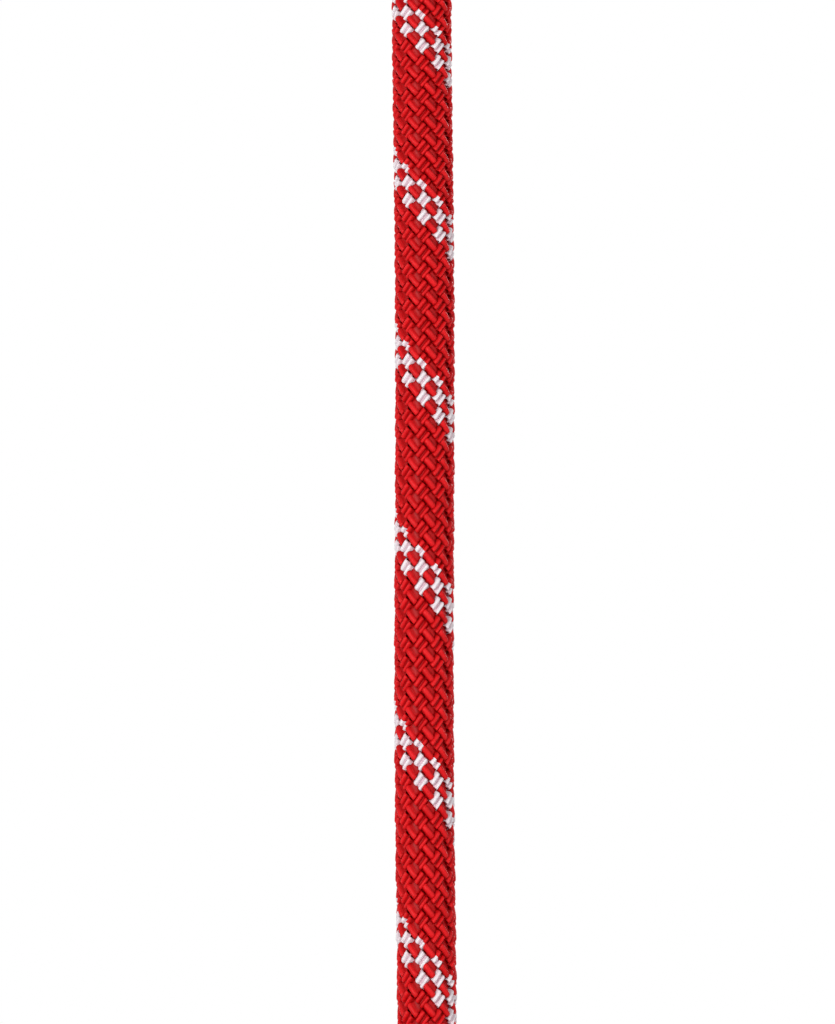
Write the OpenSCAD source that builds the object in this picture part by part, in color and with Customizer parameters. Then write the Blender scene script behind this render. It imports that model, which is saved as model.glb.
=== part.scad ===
/* [Rope] */
// Diameter of the rope over its sheath
cord_d = 10.5; // [9:0.1:11]
// Thickness of the braided sheath, two strands deep
sheath_wall = 1.2; // [0.9:0.05:1.5]

/* [Core] */
// Free space between the core and the sheath's inside
core_clearance = 0.05; // [0.03:0.01:0.1]
// Free space between neighbouring core strands
strand_gap = 0.2; // [0.15:0.05:0.3]
// Diameter of the marker thread in the middle of the core
marker_d = 0.4; // [0.2:0.05:0.4]

/* [Cut ends] */
// Length of the shrunk sleeve on each cut end
sleeve_length = 20; // [12:1:22]
// Thickness of the shrunk sleeve
sleeve_wall = 0.4; // [0.2:0.05:0.8]
// Length of the melted plug that closes each cut end
sealed_length = 3; // [2:0.5:5]
// Rounding of the melted plug's rim
sealed_round = 1.2; // [0.5:0.1:1.9]

/* [Hidden] */

rope_red = "#cf2230";
core_white = "#eeeae2";
marker_blue = "#3a6ea8";
sleeve_clear = "#dfe3e6";
sealed_brown = "#6d2024";

sheath_sides = 12;
strand_sides = 8;
// A bend of the route's legs sharper than this takes a second ring in its span
gentle_bend = 12;
end_facets = 48;

cord_r = cord_d / 2;
bore_r = cord_r - sheath_wall;
core_r = bore_r - core_clearance;

// The rope is one unbroken route. Each stretch's points steer a cubic B-spline, which passes close to
// them. The origin is where the anchor's bar bears, on the inside of the loop's top.

// Bowline: the tail's end first, up to where the standing part leaves the knot
anchor_loop_route = [
    [-8, -1, -34], // sheath's end, under the sealed end of the tail
    [-8, -1, -57],
    [-8, -1, -66],
    [-10, 0, -79],
    [-11, 0, -92],
    [-11, -3, -105],
    [-6, -11, -117], // in front of the standing part
    [6, -16, -122],
    [18, -11, -130],
    [20, 3, -139],
    [12, 15, -146],
    [-4, 17, -147], // behind the standing part
    [-18, 10, -138],
    [-23, 1, -122],
    [-23, 0, -106],
    [-23, 0, -88],
    [-25, 0, -68],
    [-26, 0, -44],
    [-26, 0, -20],
    [-19, 0, 0],
    [0, 0, 0.75 * cord_d], // the spline passes at two thirds of this height, half a rope above the bar
    [19, 0, 0],
    [26, 0, -20],
    [26, 0, -44],
    [24, 0, -68],
    [22, 0, -88],
    [18, -1, -105],
    [7, -3, -114], // crosses in front of the standing part
    [-7, 6, -114],
    [-19, 15, -113], // behind the two strands that it nips
    [-33, 11, -107],
    [-39, -1, -94],
    [-32, -13, -83],
    [-17, -15, -78], // in front of the two strands
    [-2, -12, -82],
    [4, -1, -92],
    [6, 11, -103],
    [7, 15, -116],
    [2, 5, -130]
];
// The stretch that hangs in between, straight but for the slight set that a used rope keeps
hanging_route = [
    [0, 0, -142],
    [-0.5, 0, -154],
    [-0.3, 0, -172],
    [0.1, 0, -200],
    [0.2, 0, -228],
    [0, 0, -262],
    [0, 0, -290],
    [0.4, 0, -320]
];
// Overhand stopper, down to the lower tail's end
stopper_knot_route = [
    [0.5, 0, -330],
    [0.5, 0, -343],
    [6, 1, -354],
    [11, -4, -365],
    [4, -16, -371],
    [-9, -18, -372],
    [-20, -9, -373],
    [-22, 5, -375],
    [-12, 16, -378],
    [2, 15, -382],
    [13, 4, -385],
    [16, -12, -383],
    [9, -26, -374],
    [-2, -31, -360],
    [-8, -23, -346],
    [-9, -8, -342],
    [-7, 1, -356],
    [-6, 0, -372],
    [-5, 0, -386],
    [-2, 0, -398],
    [0, 0, -408],
    [0, 0, -414],
    [0, 0, -436] // sheath's end, above the sealed end
];
route = concat(anchor_loop_route, hanging_route, stopper_knot_route);
run_start = len(anchor_loop_route);
run_end = run_start + len(hanging_route);

function unit(v) = v / norm(v);
function leg(i) = unit(route[i + 1] - route[i]);
function bend(i) = i < 1 || i > len(route) - 2 ? 0 : acos(min(1, leg(i - 1) * leg(i)));
function rings_in(i) = max(bend(i), bend(i + 1)) > gentle_bend ? 2 : 1;
function rings_before(i) = i == 0 ? 0 : rings_before(i - 1) + rings_in(i - 1);

// The spans' neighbours: past either end the route goes on straight
function before(i) = i > 0 ? route[i - 1] : 2 * route[0] - route[1];
function after(i) = i + 2 < len(route) ? route[i + 2] : 2 * route[i + 1] - route[i];
function route_point(i, t) =
    (before(i) * pow(1 - t, 3)
        + route[i] * (3 * pow(t, 3) - 6 * pow(t, 2) + 4)
        + route[i + 1] * (-3 * pow(t, 3) + 3 * pow(t, 2) + 3 * t + 1)
        + after(i) * pow(t, 3)) / 6;
function route_way(i, t) = unit(
    -before(i) * pow(1 - t, 2)
        + route[i] * (3 * pow(t, 2) - 4 * t)
        + route[i + 1] * (-3 * pow(t, 2) + 2 * t + 1)
        + after(i) * pow(t, 2));

spans = [for (i = [0:len(route) - 2]) for (k = [0:rings_in(i) - 1]) [i, k / rings_in(i)]];
stations = concat(spans, [[len(route) - 2, 1]]);
middles = [for (s = stations) route_point(s[0], s[1])];
ways = [for (s = stations) route_way(s[0], s[1])];
ring_total = len(stations);

// Each ring keeps the direction of the one before it, brought square to its own way, so nothing twists
function squared(side, way) = unit(side - way * (side * way));
sides_out = [
    for (k = 0, side = squared([1, 0, 0], ways[0]); k < ring_total;
        side = k + 1 < ring_total ? squared(side, ways[k + 1]) : side, k = k + 1) side
];
sides_up = [for (k = [0:ring_total - 1]) cross(ways[k], sides_out[k])];

run_first = rings_before(run_start);
run_last = rings_before(run_end);
ring_last = ring_total - 1;

function place(k, across, up) = middles[k] + across * sides_out[k] + up * sides_up[k];
function ring(k, radius, sides, offset) = [
    for (j = [0:sides - 1])
        place(k, offset[0] + radius * cos(360 * j / sides), offset[1] + radius * sin(360 * j / sides))
];
// Two triangles for each side of each step from ring to ring, in points that start at number base
function wall_faces(steps, sides, base, outward) = [
    for (k = [0:steps - 1]) for (j = [0:sides - 1])
        let (
            a = base + k * sides + j,
            b = base + k * sides + (j + 1) % sides,
            c = a + sides,
            d = b + sides
        )
        each outward ? [[a, c, b], [b, c, d]] : [[a, b, c], [b, d, c]]
];

// A solid tube along the route from one ring to another, at an offset from the route's line
module rod_along(first, last, radius, sides, offset = [0, 0]) {
    steps = last - first;
    points = [for (k = [first:last]) each ring(k, radius, sides, offset)];
    start_cap = [for (j = [1:sides - 2]) [0, j, j + 1]];
    end_base = steps * sides;
    end_cap = [for (j = [1:sides - 2]) [end_base, end_base + j + 1, end_base + j]];
    polyhedron(points, concat(wall_faces(steps, sides, 0, true), start_cap, end_cap));
}

// A tube with a bore, closed at both ends by a flat ring
module sleeve_along(first, last, outer, inner, sides) {
    steps = last - first;
    count = (steps + 1) * sides;
    skin = [for (k = [first:last]) each ring(k, outer, sides, [0, 0])];
    bore = [for (k = [first:last]) each ring(k, inner, sides, [0, 0])];
    start_rim = [
        for (j = [0:sides - 1])
            let (next = (j + 1) % sides)
            each [[j, next, count + j], [next, count + next, count + j]]
    ];
    last_base = steps * sides;
    end_rim = [
        for (j = [0:sides - 1])
            let (a = last_base + j, b = last_base + (j + 1) % sides)
            each [[a, count + a, b], [b, count + a, count + b]]
    ];
    polyhedron(
        concat(skin, bore),
        concat(
            wall_faces(steps, sides, 0, true),
            wall_faces(steps, sides, count, false),
            start_rim,
            end_rim
        )
    );
}

module sheath(first, last) {
    color(rope_red) sleeve_along(first, last, cord_r, bore_r, sheath_sides);
}

module sheath_anchor_loop() {
    sheath(0, run_first);
}

module sheath_hanging_run() {
    sheath(run_first, run_last);
}

module sheath_stopper_knot() {
    sheath(run_last, ring_last);
}

// Inside the knots the twelve core strands are one bundle, which fills the bore. It has as many
// sides as the sheath, so the two run parallel at the same clearance
module core_anchor_loop() {
    color(core_white) rod_along(0, run_first, core_r, sheath_sides);
}

module core_stopper_knot() {
    color(core_white) rod_along(run_last, ring_last, core_r, sheath_sides);
}

// Twelve strands in the hanging run: nine round the wall of the bore and three within them
outer_strands = 9;
inner_strands = 3;
half_step = 180 / outer_strands;
flat_r = core_r * cos(180 / sheath_sides);
strand_r = (flat_r * sin(half_step) - strand_gap / 2) / (1 + sin(half_step));
outer_ring_r = flat_r - strand_r;
inner_ring_r = (2 * strand_r + strand_gap) / (2 * sin(180 / inner_strands));

module core_strand(number) {
    outer = number <= outer_strands;
    angle = outer ? 2 * half_step * number : half_step + 360 / inner_strands * number;
    reach = outer ? outer_ring_r : inner_ring_r;
    color(core_white)
        rod_along(run_first, run_last, strand_r, strand_sides, reach * [cos(angle), sin(angle)]);
}

module marker_thread() {
    color(marker_blue) rod_along(run_first, run_last, marker_d / 2, strand_sides);
}

// Both tails end upright, so what closes them is turned about a vertical line
module end_sleeve(end_point, way) {
    color(sleeve_clear)
        translate(end_point) mirror([0, 0, way < 0 ? 1 : 0]) translate([0, 0, -sleeve_length])
            difference() {
                cylinder(h = sleeve_length, r = cord_r + sleeve_wall, $fn = end_facets);
                translate([0, 0, -1]) cylinder(h = sleeve_length + 2, r = cord_r, $fn = end_facets);
            }
}

// The melt sets as a flat plug with a rounded rim, as wide as the rope
module sealed_end(end_point, way) {
    color(sealed_brown)
        translate(end_point) mirror([0, 0, way < 0 ? 1 : 0])
            rotate_extrude($fn = end_facets) {
                square([cord_r, sealed_length - sealed_round]);
                square([cord_r - sealed_round, sealed_length]);
                translate([cord_r - sealed_round, sealed_length - sealed_round])
                    intersection() {
                        circle(sealed_round, $fn = end_facets);
                        square(sealed_round);
                    }
            }
}

upper_end = route[0];
lower_end = route[len(route) - 1];

module upper_end_sleeve() {
    end_sleeve(upper_end, 1);
}

module lower_end_sleeve() {
    end_sleeve(lower_end, -1);
}

module upper_sealed_end() {
    sealed_end(upper_end, 1);
}

module lower_sealed_end() {
    sealed_end(lower_end, -1);
}

// The rope's length, and the least free space between two stretches of it that lie more than
// two and a half diameters apart along the route
fine_step = 6;
fine = [for (i = [0:len(route) - 2]) for (k = [0:fine_step - 1]) route_point(i, k / fine_step)];
hops = [for (k = [0:len(fine) - 2]) norm(fine[k + 1] - fine[k])];
along = [for (k = 0, s = 0; k < len(fine); s = k < len(hops) ? s + hops[k] : s, k = k + 1) s];
gaps = [
    for (a = [0:len(fine) - 2]) for (b = [a + 1:len(fine) - 1])
        if (along[b] - along[a] > 2.5 * cord_d) norm(fine[a] - fine[b]) - cord_d
];
echo(length_mm = along[len(along) - 1], least_gap_mm = min(gaps), rings = ring_total);

sheath_anchor_loop();
sheath_hanging_run();
sheath_stopper_knot();
core_anchor_loop();
core_stopper_knot();
core_strand(1);  // core_strand_01
core_strand(2);  // core_strand_02
core_strand(3);  // core_strand_03
core_strand(4);  // core_strand_04
core_strand(5);  // core_strand_05
core_strand(6);  // core_strand_06
core_strand(7);  // core_strand_07
core_strand(8);  // core_strand_08
core_strand(9);  // core_strand_09
core_strand(10);  // core_strand_10
core_strand(11);  // core_strand_11
core_strand(12);  // core_strand_12
marker_thread();
upper_end_sleeve();
lower_end_sleeve();
upper_sealed_end();
lower_sealed_end();
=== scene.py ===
import math

import bpy
import numpy as np
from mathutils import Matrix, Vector


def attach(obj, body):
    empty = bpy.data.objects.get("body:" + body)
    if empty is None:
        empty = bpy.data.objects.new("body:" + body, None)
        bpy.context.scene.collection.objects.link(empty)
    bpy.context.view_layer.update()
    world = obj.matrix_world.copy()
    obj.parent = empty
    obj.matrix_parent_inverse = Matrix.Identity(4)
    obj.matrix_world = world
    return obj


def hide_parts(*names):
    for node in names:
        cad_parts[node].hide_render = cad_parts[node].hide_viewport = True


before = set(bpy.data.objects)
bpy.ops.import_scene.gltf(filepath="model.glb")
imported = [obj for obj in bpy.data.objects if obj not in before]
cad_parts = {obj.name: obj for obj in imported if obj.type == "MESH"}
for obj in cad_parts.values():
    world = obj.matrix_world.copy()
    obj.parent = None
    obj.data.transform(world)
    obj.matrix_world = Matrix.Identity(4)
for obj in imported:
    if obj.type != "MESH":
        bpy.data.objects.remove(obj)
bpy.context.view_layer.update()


# The rope's line. One unbroken rope is drawn up its short upper tail, round the bowline and its
# eye, straight down, and through the stopper knot to its lower tail. These points steer it, in
# metres, from the upper cut end to the lower one.
ROPE_DIAMETER = 0.0105
ANCHOR_LOOP = (
    (-0.008, -0.001, -0.034),
    (-0.008, -0.001, -0.057),
    (-0.008, -0.001, -0.066),
    (-0.010, 0.000, -0.079),
    (-0.011, 0.000, -0.092),
    (-0.011, -0.003, -0.105),
    (-0.006, -0.011, -0.117),
    (0.006, -0.016, -0.122),
    (0.018, -0.011, -0.130),
    (0.020, 0.003, -0.139),
    (0.012, 0.015, -0.146),
    (-0.004, 0.017, -0.147),
    (-0.018, 0.010, -0.138),
    (-0.023, 0.001, -0.122),
    (-0.023, 0.000, -0.106),
    (-0.023, 0.000, -0.088),
    (-0.025, 0.000, -0.068),
    (-0.026, 0.000, -0.044),
    (-0.026, 0.000, -0.020),
    (-0.019, 0.000, 0.000),
    (0.000, 0.000, 0.75 * ROPE_DIAMETER),
    (0.019, 0.000, 0.000),
    (0.026, 0.000, -0.020),
    (0.026, 0.000, -0.044),
    (0.024, 0.000, -0.068),
    (0.022, 0.000, -0.088),
    (0.018, -0.001, -0.105),
    (0.007, -0.003, -0.114),
    (-0.007, 0.006, -0.114),
    (-0.019, 0.015, -0.113),
    (-0.033, 0.011, -0.107),
    (-0.039, -0.001, -0.094),
    (-0.032, -0.013, -0.083),
    (-0.017, -0.015, -0.078),
    (-0.002, -0.012, -0.082),
    (0.004, -0.001, -0.092),
    (0.006, 0.011, -0.103),
    (0.007, 0.015, -0.116),
    (0.002, 0.005, -0.130),
)
HANGING_RUN = (
    (0.0000, 0.000, -0.142),
    (-0.0005, 0.000, -0.154),
    (-0.0003, 0.000, -0.172),
    (0.0001, 0.000, -0.200),
    (0.0002, 0.000, -0.228),
    (0.0000, 0.000, -0.262),
    (0.0000, 0.000, -0.290),
    (0.0004, 0.000, -0.320),
)
STOPPER_KNOT = (
    (0.0005, 0.000, -0.330),
    (0.0005, 0.000, -0.343),
    (0.006, 0.001, -0.354),
    (0.011, -0.004, -0.365),
    (0.004, -0.016, -0.371),
    (-0.009, -0.018, -0.372),
    (-0.020, -0.009, -0.373),
    (-0.022, 0.005, -0.375),
    (-0.012, 0.016, -0.378),
    (0.002, 0.015, -0.382),
    (0.013, 0.004, -0.385),
    (0.016, -0.012, -0.383),
    (0.009, -0.026, -0.374),
    (-0.002, -0.031, -0.360),
    (-0.008, -0.023, -0.346),
    (-0.009, -0.008, -0.342),
    (-0.007, 0.001, -0.356),
    (-0.006, 0.000, -0.372),
    (-0.005, 0.000, -0.386),
    (-0.002, 0.000, -0.398),
    (0.000, 0.000, -0.408),
    (0.000, 0.000, -0.414),
    (0.000, 0.000, -0.436),
)
STEPS_PER_SPAN = 24


def steered_line(points, steps):
    """The smooth curve that the points steer, a cubic B-spline from the first of them to the last."""
    points = np.array(points)
    p = np.vstack([2 * points[0] - points[1], points, 2 * points[-1] - points[-2]])
    t = (np.arange(steps) / steps)[:, None]
    pulls = ((1 - t) ** 3, 3 * t**3 - 6 * t**2 + 4, -3 * t**3 + 3 * t**2 + 3 * t + 1, t**3)
    spans = [
        sum(pull * p[i + k] for k, pull in enumerate(pulls)) / 6 for i in range(len(points) - 1)
    ]
    return np.vstack([*spans, points[-1:]])


def unit(rows):
    """Each of these rows at a length of 1."""
    return rows / np.linalg.norm(rows, axis=-1, keepdims=True)


def lengths_along(places):
    """How far along the line through these places each of them lies."""
    return np.concatenate([[0], np.cumsum(np.linalg.norm(np.diff(places, axis=0), axis=1))])


line = steered_line(ANCHOR_LOOP + HANGING_RUN + STOPPER_KNOT, STEPS_PER_SPAN)
along = lengths_along(line)
rope_length = float(along[-1])
ways = unit(np.gradient(line, along, axis=0))

# Each place keeps the side of the one before it, squared to its own way, so the rope isn't wrung
rights = [np.array([1.0, 0.0, 0.0])]
for way in ways:
    rights.append(unit(rights[-1] - way * np.dot(rights[-1], way)))
rights = np.array(rights[1:])
fronts = np.cross(ways, rights)

# The whole rope is then turned, so that these two point right and forwards on the hanging run
run_first = len(ANCHOR_LOOP) * STEPS_PER_SPAN
run_last = (len(ANCHOR_LOOP) + len(HANGING_RUN) + 1) * STEPS_PER_SPAN
run_middle = (run_first + run_last) // 2
turn = math.atan2(fronts[run_middle, 0], rights[run_middle, 0])
rights, fronts = (
    math.cos(turn) * rights + math.sin(turn) * fronts,
    math.cos(turn) * fronts - math.sin(turn) * rights,
)


def at(s, rows):
    """The line's places, or its sides, at these distances along the rope."""
    return np.stack([np.interp(s, along, rows[:, axis]) for axis in range(3)], axis=1)


def distance_to(height):
    """How far along the rope the hanging run passes this height."""
    run = slice(run_first, run_last)
    return np.interp(-np.array(height), -line[run, 2], along[run])


# The core. Twelve white polyamide strands lie side by side inside the sheath, nine round its wall
# and three within them, and each is twisted from three plies. They carry the load.
CORE_STRAND_RADIUS = 0.00091
CORE_RING_RADII = (0.00294, 0.00117)
CORE_COUNTS = (9, 3)
INNER_RING_TURN = math.radians(20)
PLIES = 3
PLY_TWIST = 0.014
PLY_GROOVE = 0.16
CORE_STEP = 0.0016
CORE_END_GAP = 0.0003

# On the bake's map a yarn is cut into strips, one a row, so that its filaments stay sharp. A strip
# fills this share of its row, and the caps on the yarn's ends lie side by side above the first one.
ROWS_PER_YARN = 6
STRIP_MARGIN = 0.003
STRIP_FOOT = 0.06
STRIP_HEIGHT = 0.84
CAP_MIDDLE = (0.01, 0.95)
CAP_HALF = (0.004, 0.04)
CAP_STEP = 0.02
CAP_SIZE_ON_YARN = 0.01


def swept(middles, heads, ups, half, outline):
    """A round yarn's rings. The outline gives each point's two shares of the half width."""
    across = unit(np.cross(ups, heads))
    ups = unit(np.cross(heads, across))
    wide = half * outline[..., :1] * across[:, None]
    high = half * outline[..., 1:] * ups[:, None]
    return middles[:, None] + wide + high


def wall_faces(rings, first_row, rows):
    """A yarn's four-sided faces, and where their corners lie on its own map and the bake's."""
    count, sides = rings.shape[:2]
    length = lengths_along(rings.mean(axis=1))
    girth = np.linalg.norm(rings[0] - np.roll(rings[0], 1, axis=0), axis=1).sum()
    r, j = np.meshgrid(np.arange(count - 1), np.arange(sides), indexing="ij")
    r, j = r.ravel(), j.ravel()
    ring_of = np.stack([r, r, r + 1, r + 1], axis=1)
    side_of = np.stack([j, j + 1, j + 1, j], axis=1)
    on_yarn = np.stack([length[ring_of], side_of / sides * girth], axis=2)
    edges = np.linspace(0, count - 1, ROWS_PER_YARN + 1).astype(int)
    row = np.searchsorted(edges, r, side="right") - 1
    first, last = edges[row][:, None], edges[row + 1][:, None]
    x = STRIP_MARGIN + (1 - 2 * STRIP_MARGIN) * (ring_of - first) / (last - first)
    y = ((first_row + row)[:, None] + STRIP_FOOT + STRIP_HEIGHT * side_of / sides) / rows
    on_bake = np.stack([x, y], axis=2)
    return ring_of * sides + side_of % sides, on_yarn.reshape(-1, 2), on_bake.reshape(-1, 2)


def cap_faces(count, sides, first_row, rows):
    """The two faces that close a yarn's ends, and where their corners lie on the same two maps."""
    faces = np.stack([np.arange(sides)[::-1], (count - 1) * sides + np.arange(sides)])
    bow = 2 * np.pi * np.arange(sides) / sides
    x = CAP_MIDDLE[0] + CAP_HALF[0] * np.cos(bow)
    y = (first_row + CAP_MIDDLE[1] + CAP_HALF[1] * np.sin(bow)) / rows
    spot = np.stack([x, y], axis=1)
    return faces, CAP_SIZE_ON_YARN * np.tile(spot, (2, 1)), np.concatenate([spot, spot + [CAP_STEP, 0]])


def bundle(name, yarns, material, levels=None):
    """One mesh from several yarns, with their ends closed. The map named yarn is in metres along
    and round each one. The levels, if any, say how far out each point lies, from 0 down in the
    grooves to 1, and set how much painted groove shade it takes."""
    corners, sizes, yarn_map, bake_map, base = [], [], [], [], 0
    rows = ROWS_PER_YARN * len(yarns)
    for number, rings in enumerate(yarns):
        count, sides = rings.shape[:2]
        first_row = number * ROWS_PER_YARN
        walls = wall_faces(rings, first_row, rows)
        caps = cap_faces(count, sides, first_row, rows)
        for faces, on_yarn, on_bake in (walls, caps):
            corners.append(base + faces.ravel())
            sizes.append(np.full(len(faces), faces.shape[1]))
            yarn_map.append(on_yarn)
            bake_map.append(on_bake)
        base += count * sides
    co = np.concatenate([rings.reshape(-1, 3) for rings in yarns])
    corners = np.concatenate(corners)
    starts = np.concatenate([[0], np.cumsum(np.concatenate(sizes))[:-1]])
    mesh = bpy.data.meshes.new(name)
    mesh.vertices.add(len(co))
    mesh.vertices.foreach_set("co", co.astype(np.float32).ravel())
    mesh.loops.add(len(corners))
    mesh.loops.foreach_set("vertex_index", corners.astype(np.int32))
    mesh.polygons.add(len(starts))
    mesh.polygons.foreach_set("loop_start", starts.astype(np.int32))
    mesh.update(calc_edges=True)
    for map_name, places in (("yarn", yarn_map), ("OFBake", bake_map)):
        layer = mesh.uv_layers.new(name=map_name)
        layer.uv.foreach_set("vector", np.concatenate(places).astype(np.float32).ravel())
    mesh.shade_smooth()
    if levels is not None:
        attribute = mesh.attributes.new("level", "FLOAT", "POINT")
        attribute.data.foreach_set("value", np.concatenate(levels).astype(np.float32).ravel())
    mesh.materials.append(material)
    piece = bpy.data.objects.new(name, mesh)
    bpy.context.scene.collection.objects.link(piece)
    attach(piece, "root")
    return piece


# Every yarn's polyamide is laid from filaments of this width, which run at this slant to the yarn
# and are drawn out along it. Its tone changes with them by this share, and slowly with the place,
# and they make it smoother and rougher than its own roughness by as much as this.
FILAMENT_WIDTH = 0.00009
FILAMENT_SLANT = math.radians(14)
FILAMENT_DRAWN_OUT = 0.06
FILAMENT_RELIEF = 0.00002
FILAMENT_SHARE = 0.55
FILAMENT_ROUGHNESS = (-0.08, 0.12)
SLOW_TONE_SCALE = 420
TONE_ENDS = (0.48, 0.86)


def colour(red, green, blue):
    """A colour written from 0 to 255, as the shaders take it."""
    shares = [value / 255 for value in (red, green, blue)]
    return (*[x / 12.92 if x <= 0.04045 else ((x + 0.055) / 1.055) ** 2.4 for x in shares], 1)


def blank_material(name):
    """A new material, the tree of its nodes and the shader in that."""
    material = bpy.data.materials.new(name)
    material.use_nodes = True
    return material, material.node_tree, material.node_tree.nodes["Principled BSDF"]


def worked_out(tree, operation, *values):
    """What a Math node makes of its values, each a number or another node's output."""
    node = tree.nodes.new("ShaderNodeMath")
    node.operation = operation
    for socket, value in zip(node.inputs, values):
        if isinstance(value, (int, float)):
            socket.default_value = value
        else:
            tree.links.new(value, socket)
    return node.outputs["Value"]


def noise(tree, places, scale, detail=2, distortion=0):
    """How a cloudy texture of this scale runs over these places."""
    node = tree.nodes.new("ShaderNodeTexNoise")
    node.inputs["Scale"].default_value = scale
    node.inputs["Detail"].default_value = detail
    node.inputs["Distortion"].default_value = distortion
    tree.links.new(places, node.inputs["Vector"])
    return node.outputs["Fac"]


def tone(tree, value, deep, bright, ends=(0, 1)):
    """The colour that runs from deep to bright as the value goes from one end to the other."""
    node = tree.nodes.new("ShaderNodeValToRGB")
    first, last = node.color_ramp.elements
    first.position, last.position = ends
    first.color, last.color = deep, bright
    tree.links.new(value, node.inputs["Fac"])
    return node.outputs["Color"]


def give_surface(tree, shader, base, gloss, roughness, height, strength, relief):
    """Gives the shader its colour, a roughness between these two that follows the gloss, and a
    bump that follows the height."""
    rough = tree.nodes.new("ShaderNodeMapRange")
    rough.inputs["To Min"].default_value, rough.inputs["To Max"].default_value = roughness
    bump = tree.nodes.new("ShaderNodeBump")
    bump.inputs["Strength"].default_value = strength
    bump.inputs["Distance"].default_value = relief
    tree.links.new(base, shader.inputs["Base Color"])
    tree.links.new(gloss, rough.inputs["Value"])
    tree.links.new(rough.outputs["Result"], shader.inputs["Roughness"])
    tree.links.new(height, bump.inputs["Height"])
    tree.links.new(bump.outputs["Normal"], shader.inputs["Normal"])


def polyamide(name, deep, bright, roughness, sheen, painted_groove_shade=None):
    """A finish of fine filaments laid along a yarn, with slow changes of tone down its length. The
    painted groove shade, if any, is the colour that it has where its points' level is 0: painted
    shade that darkens the yarn down in the grooves."""
    material, tree, shader = blank_material(name)
    shader.inputs["Sheen Weight"].default_value = sheen
    shader.inputs["Sheen Roughness"].default_value = 0.4
    shader.inputs["Specular IOR Level"].default_value = 0.15
    lay = tree.nodes.new("ShaderNodeUVMap")
    lay.uv_map = "yarn"
    drawn_out = tree.nodes.new("ShaderNodeMapping")
    drawn_out.inputs["Rotation"].default_value = (0, 0, FILAMENT_SLANT)
    drawn_out.inputs["Scale"].default_value = (FILAMENT_DRAWN_OUT, 1, 1)
    tree.links.new(lay.outputs["UV"], drawn_out.inputs["Vector"])
    place = tree.nodes.new("ShaderNodeTexCoord")
    filaments = noise(tree, drawn_out.outputs["Vector"], 1 / FILAMENT_WIDTH)
    slow = noise(tree, place.outputs["Object"], SLOW_TONE_SCALE)
    mixed = worked_out(tree, "MULTIPLY_ADD", filaments, FILAMENT_SHARE, slow)
    base = tone(tree, mixed, deep, bright, TONE_ENDS)
    # Painted shade: towards the grooves the colour is mixed to the darker groove shade by the points'
    # level
    if painted_groove_shade:
        level = tree.nodes.new("ShaderNodeAttribute")
        level.attribute_name = "level"
        shaded_in_grooves = tree.nodes.new("ShaderNodeMix")
        shaded_in_grooves.data_type = "RGBA"
        shaded_in_grooves.inputs["A"].default_value = painted_groove_shade
        tree.links.new(level.outputs["Fac"], shaded_in_grooves.inputs["Factor"])
        tree.links.new(base, shaded_in_grooves.inputs["B"])
        base = shaded_in_grooves.outputs["Result"]
    give_surface(
        tree,
        shader,
        base,
        gloss=filaments,
        roughness=[roughness + change for change in FILAMENT_ROUGHNESS],
        height=filaments,
        strength=0.6,
        relief=FILAMENT_RELIEF,
    )
    return material


core_white = polyamide(
    "core_polyamide",
    deep=colour(206, 200, 186),
    bright=colour(243, 240, 230),
    roughness=0.55,
    sheen=0.2,
)
core_places = np.arange(CORE_END_GAP, rope_length - CORE_END_GAP, CORE_STEP)
six_corners = np.radians(np.arange(0, 360, 60))
core_strands = []
for ring, count in enumerate(CORE_COUNTS):
    for number in range(count):
        angle = 2 * math.pi * number / count + ring * INNER_RING_TURN
        up = math.cos(angle) * at(core_places, rights) + math.sin(angle) * at(core_places, fronts)
        middles = at(core_places, line) + CORE_RING_RADII[ring] * up
        twist = 2 * math.pi * core_places[:, None] / PLY_TWIST
        swell = 1 - PLY_GROOVE * (0.5 - 0.5 * np.cos(PLIES * (six_corners + twist)))
        outline = np.stack([swell * np.cos(six_corners), swell * np.sin(six_corners)], axis=2)
        core_strands.append(swept(middles, at(core_places, ways), up, CORE_STRAND_RADIUS, outline))
core = bundle("core_strands", core_strands, core_white)
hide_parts("core_anchor_loop", "core_stopper_knot")
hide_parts(*[f"core_strand_{number:02d}" for number in range(1, 13)])


# The marker thread. A fine dark blue thread lies in the middle of the core from end to end, and
# says by its colour in which year the rope was made. It is laid in loose, as the core is closed.
MARKER_RADIUS = 0.0002
marker_blue = polyamide(
    "marker_thread_polyamide",
    deep=colour(28, 62, 112),
    bright=colour(70, 118, 178),
    roughness=0.6,
    sheen=0.1,
)
marker_outline = np.stack([np.cos(six_corners), np.sin(six_corners)], axis=1)
marker_places = np.arange(CORE_END_GAP, rope_length - CORE_END_GAP, 2 * CORE_STEP)
marker_rings = swept(
    at(marker_places, line),
    at(marker_places, ways),
    at(marker_places, rights),
    MARKER_RADIUS,
    marker_outline[None],
)
marker = bundle("marker_yarn", [marker_rings], marker_blue)
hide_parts("marker_thread")


# The sheath. Forty polyamide strands are braided round the core, twenty each way. They run in
# pairs, and each pair passes over one pair of the other hand and under the next, which leaves ten
# columns of cells each way. Thirty-five strands are red and five neighbouring ones are white.
PAIRS = 10
STRANDS_EACH_WAY = 2 * PAIRS
COLUMN = 2 * math.pi / PAIRS
WHITE_STRANDS = (1, 2, 3, 4, 5)
STRANDS_PER_PIECE = 5
# Half of a strand's width, in cells of the braid
HALF_STRAND = 0.125

# Hands are 1 for the strands that run down to the right, and -1 for those that run to the left.
# A strand's middle lies this far out from the rope's line where it runs under, and where it dips
# into a groove at a bulge's foot, less than NEAR_MIDDLE phases from the middle of its stretch on top.
UNDER = 0.00420
GROOVES = {1: 0.00422, -1: 0.00440}
NEAR_MIDDLE = 0.3
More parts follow.
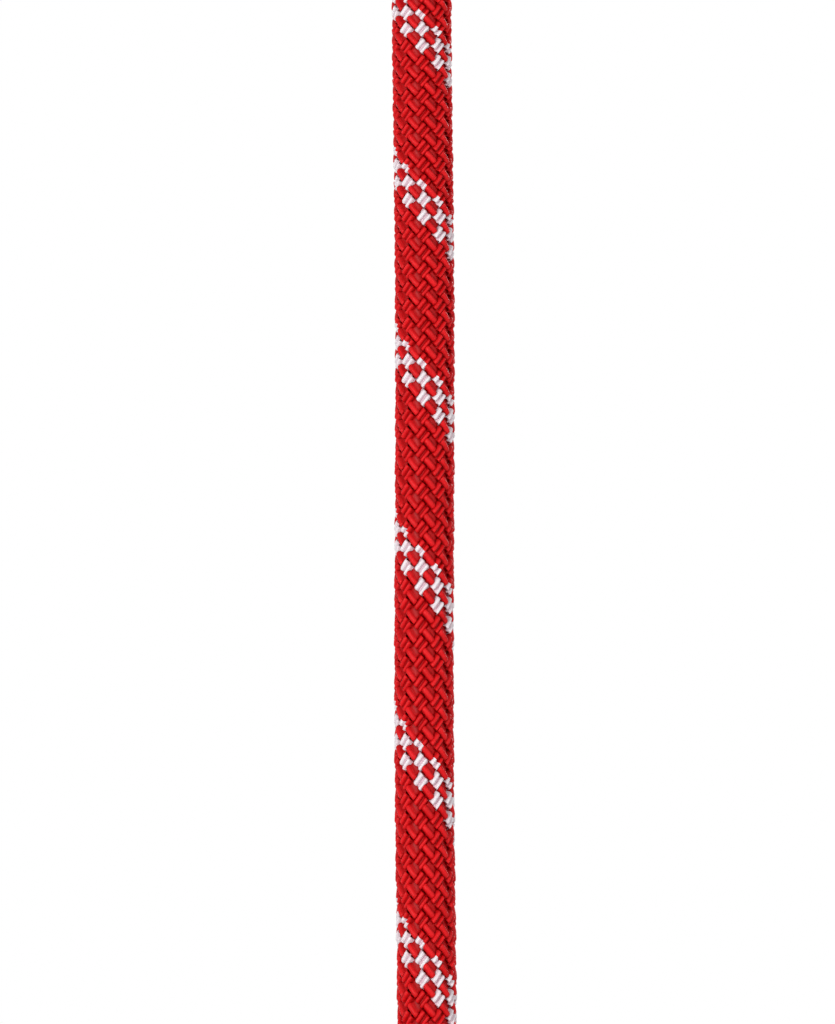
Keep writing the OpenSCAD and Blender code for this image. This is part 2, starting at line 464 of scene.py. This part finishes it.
# Out to the first of these distances a strand has the painted groove shade, and from the second its own
PAINTED_SHADE_TO = 0.00450
UNSHADED_FROM = 0.00516
HALF_THICKNESS = {"crest": 0.00031, "under": 0.00020}
# A strand's width at a crest, and under, where 1 leaves no room between it and its neighbour. Only
# the edge away from its pair's other strand moves, so above 1 that one runs over the neighbour.
WIDTH_SHARES = {1: 1.04, -1: 1.50, "under": 1.04}
# A pair running to the right bulges over each of the two strands beneath it, and one running to
# the left over both at once: the phases where each bulge starts, crests and ends, and how far out
# the middle of the strand lies at the crest
BULGES = {
    1: ((-0.45, -0.21, -0.03, 0.00496), (0.13, 0.27, 0.45, 0.00496)),
    -1: ((-0.13, 0.12, 0.42, 0.00494),),
}
# Where a bulge's rings lie, from -1 at its start by way of 0 at its crest to 1 at its end. The one
# at -2.4 comes before it, and keeps a strand that runs to the left low up to there.
RINGS_UP_A_BULGE = {
    (1, "run"): (-1, -0.85, -0.45, 0, 0.45, 0.85, 1),
    (1, "knot"): (-1, -0.55, 0.45, 1),
    (-1, "run"): (-2.4, -1, -0.95, -0.8, -0.45, 0, 0.45, 0.8, 0.95, 1),
    (-1, "knot"): (-2.4, -1, -0.75, 0, 0.75, 1),
}
# How much steeper the bulges lie than the strands that they pass over
LEAN = {1: 0.09, -1: 0.05}
# How uneven the braid is: by how much of a phase and how far out, and the steps that these waves
# take from one stretch on top to the next, from pair to pair and from bulge to bulge
UNEVEN_PHASE = 0.025
PHASE_STEPS = (1.9, 4.3)
UNEVEN_HEIGHT = 0.00006
HEIGHT_STEPS = (2.7, 1.3, 9)
# What a strand leaves free at the rope's cut ends, in phases, and how far above and below the
# hanging run the rings still lie as they do on it
END_GAP_PHASES = 0.02
RUN_GOES_ON = (0.004, 0.012)
# Down the hanging run: heights, the braid's cell lengths there and how far it is wrung, in degrees
HEIGHTS = (-0.163, -0.193, -0.224, -0.257, -0.291, -0.326)
CELL_LENGTHS = (0.00290, 0.00306, 0.00322, 0.00335, 0.00344, 0.00347)
WRUNG = (0.5, -0.4, -3.7, -6.2, -8.7, -10.2)
KNOT_CELL_LENGTH = 0.0033
KNOT_BLEND = 0.020
FIRST_WHITE_CELL = -0.16184
stations = distance_to(HEIGHTS)
cell_stations = [stations[0] - KNOT_BLEND, *stations, stations[-1] + KNOT_BLEND]
cell_lengths = np.interp(along, cell_stations, [KNOT_CELL_LENGTH, *CELL_LENGTHS, KNOT_CELL_LENGTH])
cells = np.concatenate([[0], np.cumsum(np.diff(along) * 2 / (cell_lengths[1:] + cell_lengths[:-1]))])
cells += 1 - np.interp(distance_to(FIRST_WHITE_CELL), along, cells)
wrung = np.radians(np.interp(along, stations, WRUNG))

# A strand's outline, with its pair's other strand towards 1 and the pair's own edge towards -1
strand_outline = np.array([(1.35, 0.94), (1, 1), (-0.2, 1), (-0.7, 0.75), (-0.96, 0.1), (0.2, -0.9)])


def crowns(hand, place, top, pair):
    """The rings of one stretch on top, round this whole phase. Each has its phase, its rise up a
    bulge from 0 to 1, how far out it would lie without that rise, and how far out with all of it."""
    rings = RINGS_UP_A_BULGE[hand, place]
    share = np.tile(rings, len(BULGES[hand]))
    first, middle, last, crest = np.repeat(BULGES[hand], len(rings), axis=0).T
    off = middle + share * np.where(share < 0, middle - first, last - middle)
    foot_near_middle = (np.abs(share) == 1) & (np.abs(off) < NEAR_MIDDLE)
    base = np.where(foot_near_middle, GROOVES[hand], UNDER)
    phase = top + off + UNEVEN_PHASE * math.sin(PHASE_STEPS[0] * top + PHASE_STEPS[1] * pair)
    wave = HEIGHT_STEPS[0] * top + HEIGHT_STEPS[1] * pair + HEIGHT_STEPS[2] * middle
    crest = crest + UNEVEN_HEIGHT * np.sin(wave)
    return np.stack([phase, np.sqrt(np.clip(1 - share**2, 0, 1)), base, crest])


def sheath_strand(number, hand):
    """One strand from end to end, which is this number of its hand. It lies on top round each
    whole phase that its pair owns, and under between. Its rings come with their points' levels."""
    pair, second = divmod(number, 2)
    side = 1 if second else -1
    start = pair + 2 * HALF_STRAND * side
    owned = pair if hand > 0 else pair + 1
    low, high = 2 * cells[0] - start, 2 * cells[-1] - start
    tops = np.arange(math.floor((low - owned) / 2), math.ceil((high - owned) / 2) + 1) * 2 + owned
    top_places = np.interp((tops + start) / 2, cells, along)
    past_run = (along[run_first] - RUN_GOES_ON[0], stations[-1] + RUN_GOES_ON[1])
    places = np.where((top_places > past_run[0]) & (top_places < past_run[1]), "run", "knot")
    stretches = [crowns(hand, place, top, pair) for place, top in zip(places, tops)]
    phase, rise, base, crest = np.hstack(stretches)
    kept = (phase > low + END_GAP_PHASES) & (phase < high - END_GAP_PHASES)
    phase, rise, base, crest = phase[kept], rise[kept], base[kept], crest[kept]

    # The outline is mirrored for the second strand, and goes round so that its faces point out
    outline = strand_outline * (-side, 1)
    if side * hand < 0:
        outline = outline[::-1]
    width = WIDTH_SHARES["under"] + (WIDTH_SHARES[hand] - WIDTH_SHARES["under"]) * rise
    own_edge = np.abs(outline[:, 0]) < 1
    across = HALF_STRAND * outline[:, 0] * np.where(own_edge, width[:, None], 1)
    half_height = HALF_THICKNESS["under"] + (HALF_THICKNESS["crest"] - HALF_THICKNESS["under"]) * rise
    half_height = np.where(base == GROOVES[hand], HALF_THICKNESS["crest"], half_height)
    reach = (base + (crest - base) * rise)[:, None] + half_height[:, None] * outline[:, 1]

    # The strand is wound round the rope's line, down one cell for each column that it goes round
    cell = (phase + start)[:, None] / 2
    lean = LEAN[hand] * (across + HALF_STRAND * side)
    s = np.interp(cell + across + lean, cells, along)
    angle = hand * COLUMN * (cell - start - across + lean) + np.interp(s, along, wrung)
    s, angle, reach = s.ravel(), angle.ravel()[:, None], reach.ravel()[:, None]
    out = np.sin(angle) * at(s, rights) + np.cos(angle) * at(s, fronts)
    # The level is the mask for the painted shade, which darkens the strand down in the grooves
    level = np.clip((reach - PAINTED_SHADE_TO) / (UNSHADED_FROM - PAINTED_SHADE_TO), 0, 1)
    return (at(s, line) + reach * out).reshape(len(phase), len(outline), 3), level


# Both sheath finishes carry painted shade: a darker colour down in the grooves, set by each point's
# level
sheath_red = polyamide(
    "sheath_red_polyamide",
    deep=colour(196, 9, 14),
    bright=colour(226, 27, 32),
    roughness=0.45,
    sheen=0,
    painted_groove_shade=colour(160, 1, 4),
)
sheath_white = polyamide(
    "sheath_white_polyamide",
    deep=colour(236, 222, 228),
    bright=colour(241, 234, 238),
    roughness=0.5,
    sheen=0,
    painted_groove_shade=colour(218, 186, 196),
)
red_pieces = []
for hand, side in ((1, "right"), (-1, "left")):
    red_strands = [n for n in range(STRANDS_EACH_WAY) if hand < 0 or n not in WHITE_STRANDS]
    for first in range(0, len(red_strands), STRANDS_PER_PIECE):
        numbers = red_strands[first : first + STRANDS_PER_PIECE]
        name = f"sheath_red_{side}_{first // STRANDS_PER_PIECE + 1}"
        strands, levels = zip(*[sheath_strand(n, hand) for n in numbers])
        red_pieces.append(bundle(name, strands, sheath_red, levels))
strands, levels = zip(*[sheath_strand(n, 1) for n in WHITE_STRANDS])
tracer = bundle("sheath_white_right", strands, sheath_white, levels)
for piece in (*red_pieces, tracer):
    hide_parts("sheath_anchor_loop", "sheath_hanging_run", "sheath_stopper_knot")


# The end sleeves. A pale film is shrunk over each cut end of the rope, where a maker's data would
# be. It is left plain, and lies so tight on the sheath that the braid stands out through it.
SLEEVE_MIDDLES = {"upper_end_sleeve": line[0], "lower_end_sleeve": line[-1]}
# How much the braid counts in the film's relief, beside the film's own ripple
BRAID_IN_RELIEF = 0.4


def film(name, middle):
    """The film's finish, with the braid's cells standing out round this middle line."""
    material, tree, shader = blank_material(name)
    place = tree.nodes.new("ShaderNodeTexCoord").outputs["Object"]
    centred = tree.nodes.new("ShaderNodeMapping")
    centred.inputs["Location"].default_value = (-middle[0], -middle[1], 0)
    parts = tree.nodes.new("ShaderNodeSeparateXYZ")
    tree.links.new(place, centred.inputs["Vector"])
    tree.links.new(centred.outputs["Vector"], parts.inputs["Vector"])
    bearing = worked_out(tree, "ARCTAN2", parts.outputs["Y"], parts.outputs["X"])
    columns = worked_out(tree, "COSINE", worked_out(tree, "MULTIPLY", bearing, PAIRS))
    rows = worked_out(tree, "MULTIPLY", parts.outputs["Z"], 2 * math.pi / KNOT_CELL_LENGTH)
    braid = worked_out(tree, "MULTIPLY", columns, worked_out(tree, "COSINE", rows))
    clouds = noise(tree, place, scale=160, detail=4)
    ripple = noise(tree, place, scale=420)
    base = tone(tree, clouds, colour(196, 200, 204), colour(232, 234, 236))
    bumps = worked_out(tree, "ADD", ripple, worked_out(tree, "MULTIPLY", braid, BRAID_IN_RELIEF))
    give_surface(
        tree,
        shader,
        base,
        gloss=clouds,
        roughness=(0.22, 0.42),
        height=bumps,
        strength=0.5,
        relief=0.0002,
    )
    return material


def dress(node, material):
    """Gives this node of the CAD the finish in place of its plain one."""
    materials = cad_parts[node].data.materials
    materials.clear()
    materials.append(material)


for node, middle in SLEEVE_MIDDLES.items():
    dress(node, film(f"{node}_film", middle))


# The sealed ends. Core and sheath are melted together where the rope was cut, and have set as a
# hard dark red plug, streaked with what is left of the white core.
SEALED_ENDS = ("upper_sealed_end", "lower_sealed_end")


def melt():
    """The plugs' finish, glossy where it ran and rough where it charred."""
    material, tree, shader = blank_material("sealed_melt")
    place = tree.nodes.new("ShaderNodeTexCoord").outputs["Object"]
    streaks = noise(tree, place, scale=520, detail=5, distortion=1.2)
    base = tone(tree, streaks, colour(54, 8, 12), colour(150, 62, 58), ends=(0.35, 0.75))
    give_surface(
        tree,
        shader,
        base,
        gloss=streaks,
        roughness=(0.18, 0.5),
        height=streaks,
        strength=0.7,
        relief=0.0004,
    )
    return material


sealed_melt = melt()
for node in SEALED_ENDS:
    dress(node, sealed_melt)


# The camera. It stands far off and looks level at the hanging run, with the knots above and below
# its view.
VIEW_CENTRE = (-0.00114, 0.0, -0.2461)
VIEW_HEIGHT = 0.1792
CAMERA_DISTANCE = 1.5
SENSOR_SIZE = 36
camera = bpy.data.objects.new("camera", bpy.data.cameras.new("camera"))
camera.data.sensor_width = SENSOR_SIZE
camera.data.lens = SENSOR_SIZE * CAMERA_DISTANCE / VIEW_HEIGHT
camera.data.clip_start = 0.1
camera.location = (VIEW_CENTRE[0], VIEW_CENTRE[1] - CAMERA_DISTANCE, VIEW_CENTRE[2])
camera.rotation_euler = (math.radians(90), 0, 0)
bpy.context.scene.collection.objects.link(camera)
bpy.context.scene.camera = camera


# The studio. A pale floor lies below the rope's lower end and fades out into a white backdrop. One
# soft lamp stands to the front left, and weaker ones to the front right and at the back fill in
# its shadows.
FLOOR_HEIGHT = -0.46
FLOOR_HALF = 1.05
FLOOR_GREY = 0.86
# How much of what is seen of the floor is its own glow, and how strong that is, in the middle. Both
# stay so out to the first of these distances, and have gone up to 1 by the second.
FLOOR_GLOW = 0.65
FLOOR_STRENGTH = 0.94
FLOOR_PLAIN_OUT_TO = 0.05
FLOOR_WHITE_FROM = 0.9
ROOM_STRENGTH = 0.24
# Each lamp's place, its size and its power
LAMPS = {
    "left_lamp": ((-0.90, -1.30, -0.20), 0.5, 15.5),
    "front_right_lamp": ((0.90, -1.23, 0.10), 1.0, 8),
    "back_lamp": ((0.70, 1.30, 0.40), 1.0, 12),
}


def rays_that_show(tree):
    """1 for the rays that show a surface, straight on, mirrored or through glass, and otherwise 0."""
    rays = tree.nodes.new("ShaderNodeLightPath").outputs
    mirrored_or_straight = worked_out(tree, "MAXIMUM", rays["Is Camera Ray"], rays["Is Glossy Ray"])
    return worked_out(tree, "MAXIMUM", mirrored_or_straight, rays["Is Transmission Ray"])


def rising(tree, distance, near):
    """A value that rises from near, in the middle of the floor, to 1 where that has turned white."""
    node = tree.nodes.new("ShaderNodeMapRange")
    node.inputs["From Min"].default_value = FLOOR_PLAIN_OUT_TO
    node.inputs["From Max"].default_value = FLOOR_WHITE_FROM
    node.inputs["To Min"].default_value = near
    tree.links.new(distance, node.inputs["Value"])
    return node.outputs["Result"]


def floor_paint():
    """The floor's finish, which takes shadows and glows only for the rays that show it."""
    material, tree, shader = blank_material("studio_floor_paint")
    shader.inputs["Base Color"].default_value = (FLOOR_GREY, FLOOR_GREY, FLOOR_GREY, 1)
    shader.inputs["Roughness"].default_value = 0.9
    place = tree.nodes.new("ShaderNodeTexCoord")
    distance = tree.nodes.new("ShaderNodeVectorMath")
    distance.operation = "LENGTH"
    tree.links.new(place.outputs["Object"], distance.inputs[0])
    glow = tree.nodes.new("ShaderNodeEmission")
    tree.links.new(rising(tree, distance.outputs["Value"], FLOOR_STRENGTH), glow.inputs["Strength"])
    share = rising(tree, distance.outputs["Value"], FLOOR_GLOW)
    painted = tree.nodes.new("ShaderNodeMixShader")
    tree.links.new(worked_out(tree, "MULTIPLY", share, rays_that_show(tree)), painted.inputs["Fac"])
    tree.links.new(shader.outputs["BSDF"], painted.inputs[1])
    tree.links.new(glow.outputs["Emission"], painted.inputs[2])
    tree.links.new(painted.outputs["Shader"], tree.nodes["Material Output"].inputs["Surface"])
    return material


floor_mesh = bpy.data.meshes.new("studio_floor")
floor_corners = [(x * FLOOR_HALF, y * FLOOR_HALF, 0) for x, y in ((-1, -1), (1, -1), (1, 1), (-1, 1))]
floor_mesh.from_pydata(floor_corners, [], [(0, 1, 2, 3)])
floor_mesh.materials.append(floor_paint())
floor = bpy.data.objects.new("studio_floor", floor_mesh)
floor.location = (0, 0, FLOOR_HEIGHT)
bpy.context.scene.collection.objects.link(floor)

world = bpy.data.worlds.new("studio_room")
bpy.context.scene.world = world
world.use_nodes = True
tree = world.node_tree
tree.nodes.clear()
room = tree.nodes.new("ShaderNodeBackground")
room.inputs["Color"].default_value = (1, 1, 1, 1)
room.inputs["Strength"].default_value = ROOM_STRENGTH
backdrop = tree.nodes.new("ShaderNodeBackground")
backdrop.inputs["Color"].default_value = (1, 1, 1, 1)
seen = tree.nodes.new("ShaderNodeMixShader")
tree.links.new(rays_that_show(tree), seen.inputs["Fac"])
tree.links.new(room.outputs["Background"], seen.inputs[1])
tree.links.new(backdrop.outputs["Background"], seen.inputs[2])
output = tree.nodes.new("ShaderNodeOutputWorld")
tree.links.new(seen.outputs["Shader"], output.inputs["Surface"])

for lamp_name, (place, size, power) in LAMPS.items():
    lamp_data = bpy.data.lights.new(lamp_name, "AREA")
    lamp_data.size = size
    lamp_data.energy = power
    lamp = bpy.data.objects.new(lamp_name, lamp_data)
    lamp.location = place
    aim = Vector(VIEW_CENTRE) - Vector(place)
    lamp.rotation_euler = aim.to_track_quat("-Z", "Y").to_euler()
    bpy.context.scene.collection.objects.link(lamp)
bpy.context.scene.view_settings.view_transform = "Standard"
